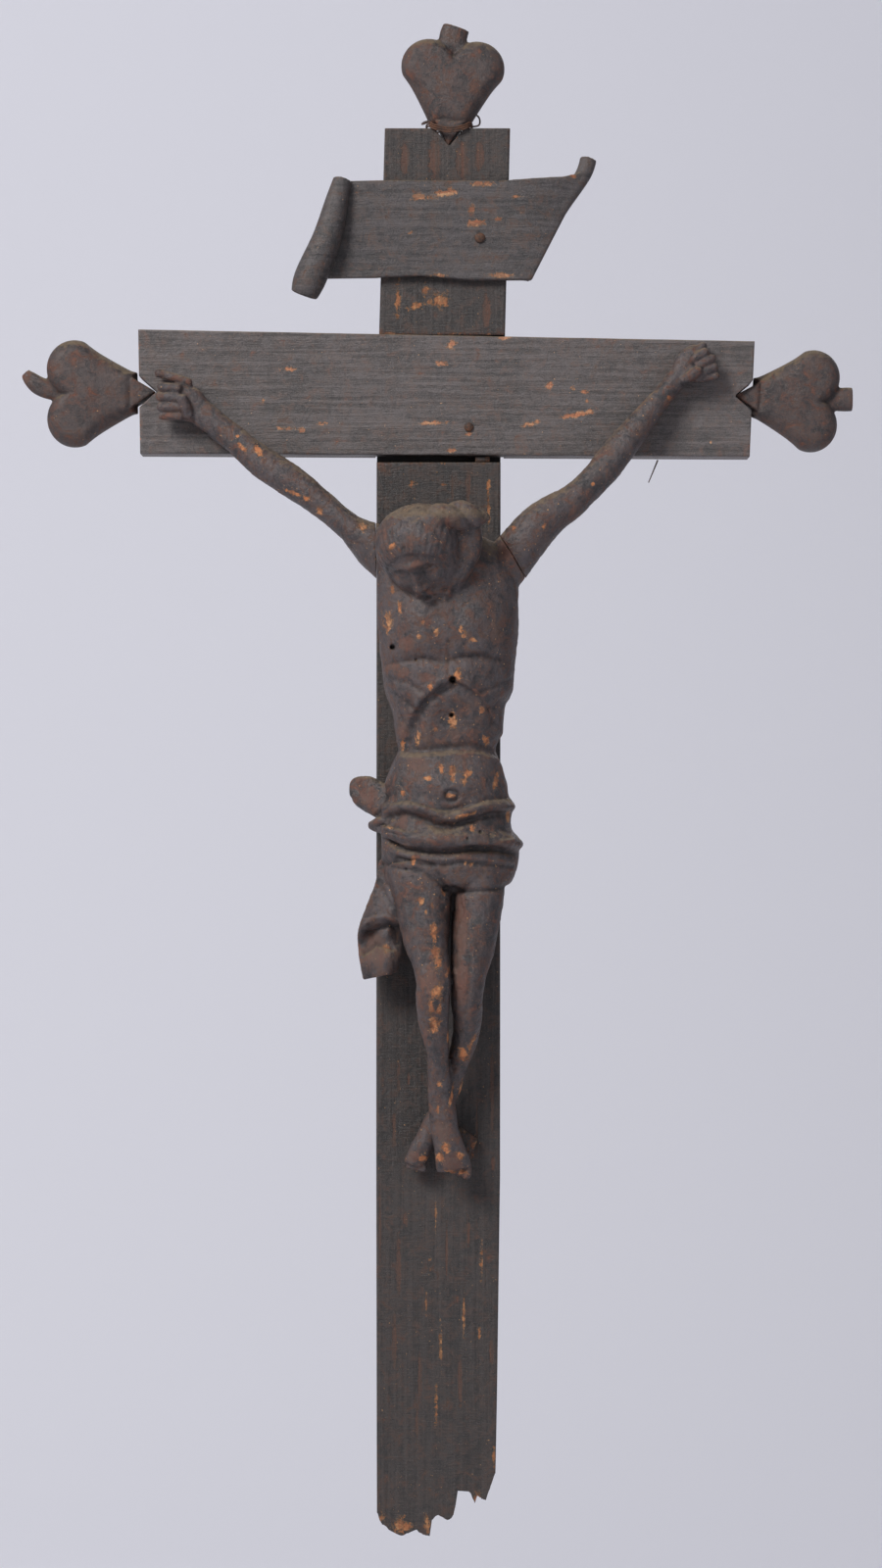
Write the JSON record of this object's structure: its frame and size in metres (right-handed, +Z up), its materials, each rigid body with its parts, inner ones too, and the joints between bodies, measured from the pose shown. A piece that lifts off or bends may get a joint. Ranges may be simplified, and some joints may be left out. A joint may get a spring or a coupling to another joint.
{
  "type": "wooden wall crucifix",
  "caption": "Carved and painted wooden wall crucifix with heart finials, a bare rolled title scroll, a loincloth and a broken-off foot.",
  "frame": {"origin": "on the flat back of the upright, 10.5 mm below the end of its head, where the cross hangs against the wall", "axes": "+X to the viewer's right, +Y out of the back towards the wall, +Z up along the upright"},
  "size_m": [0.4683, 0.095, 0.8508],
  "materials": {
    "board_paint": "old near-black paint over brown-red, brushed along the boards, satin",
    "heart_paint": "dark red-brown paint rubbed to bare orange wood on the high places",
    "figure_paint": "dark purplish brown paint, slightly glossy, flaked to red undercoat and bare wood",
    "rusty_iron": "dark rusted wrought iron, matt"
  },
  "bodies": {
    "root": {"upright": "board_paint", "crossbar": "board_paint", "title_scroll": "board_paint", "heart_top": "heart_paint", "heart_left": "heart_paint", "heart_right": "heart_paint", "corpus": "figure_paint", "arm_left": "figure_paint", "arm_right": "figure_paint", "foot_block": "board_paint", "packing_wedge": "board_paint", "binding_wire": "rusty_iron", "title_nail": "rusty_iron", "crossing_nail": "rusty_iron", "stray_pin": "rusty_iron"}
  },
  "joints": []
}
